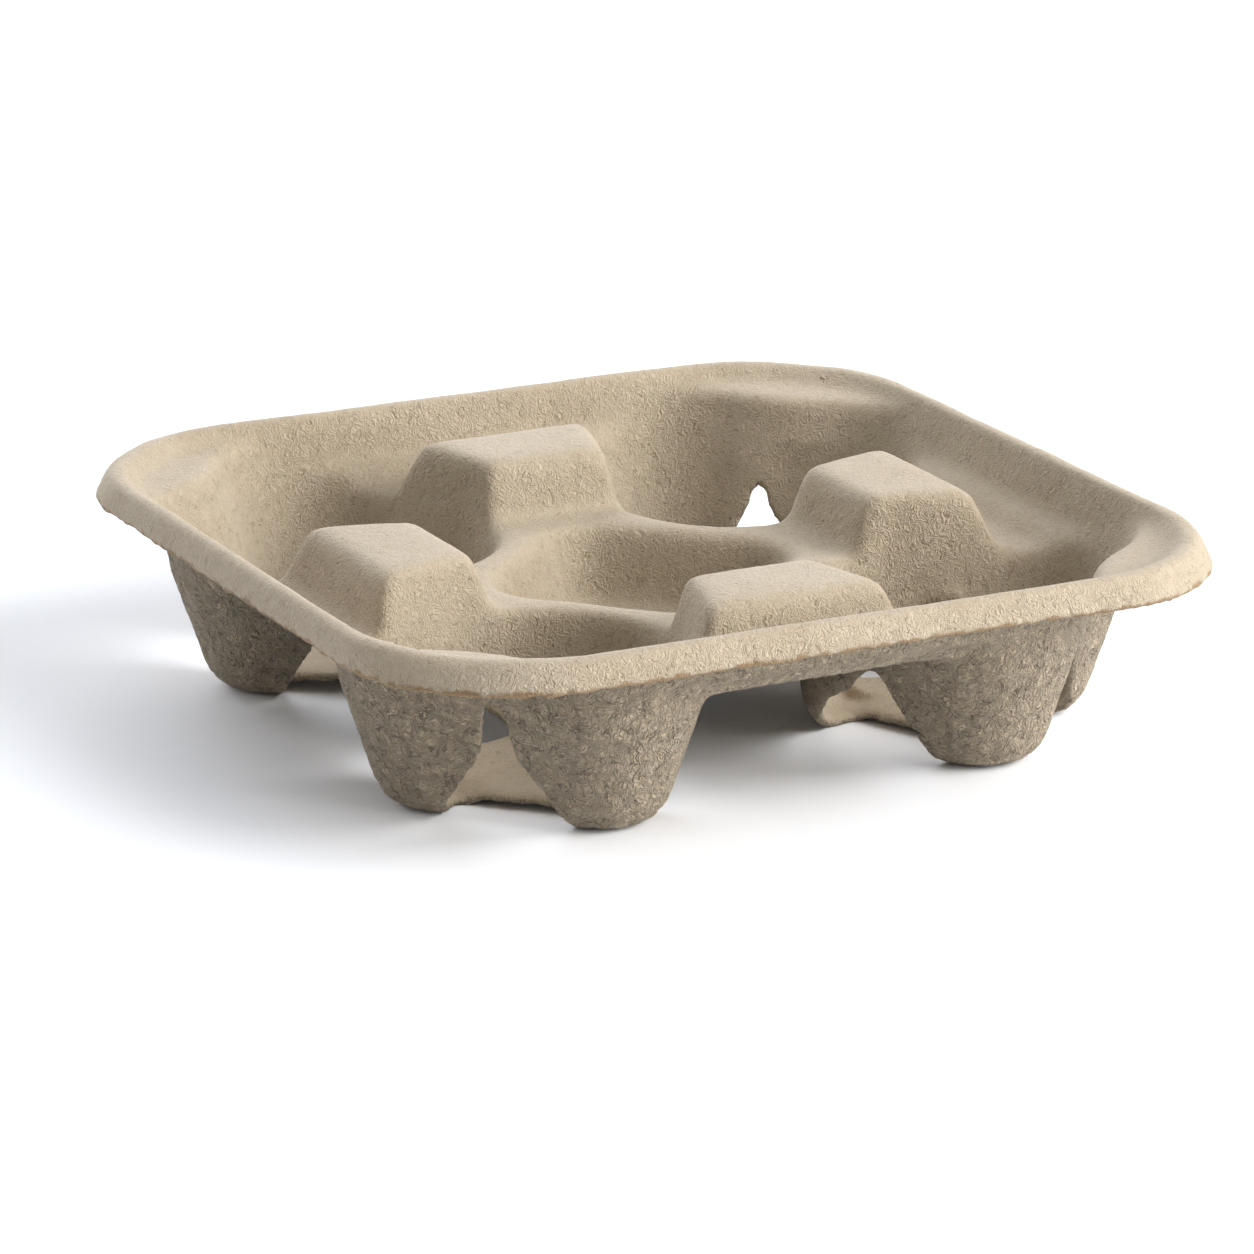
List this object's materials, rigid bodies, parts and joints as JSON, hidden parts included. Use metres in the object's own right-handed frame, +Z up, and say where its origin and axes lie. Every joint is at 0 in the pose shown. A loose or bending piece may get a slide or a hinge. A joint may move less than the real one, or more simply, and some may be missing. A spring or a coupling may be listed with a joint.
{
  "type": "cardboard cup carrier",
  "caption": "Square moulded pulp tray for carrying drink cups, with flared pockets on split feet, raised blocks between them, a sunken middle and a turned-down rim.",
  "frame": {"origin": "middle of the tray, on the surface that its feet stand on", "axes": "+Z up out of the pockets, X and Y along the tray's two pairs of sides"},
  "size_m": [0.21, 0.21, 0.0468],
  "materials": {
    "pulp": "matt moulded pulp, warm grey beige, with fine wormy fibre relief and dark specks"
  },
  "bodies": {
    "root": {"carrier_tray": "pulp"}
  },
  "joints": []
}
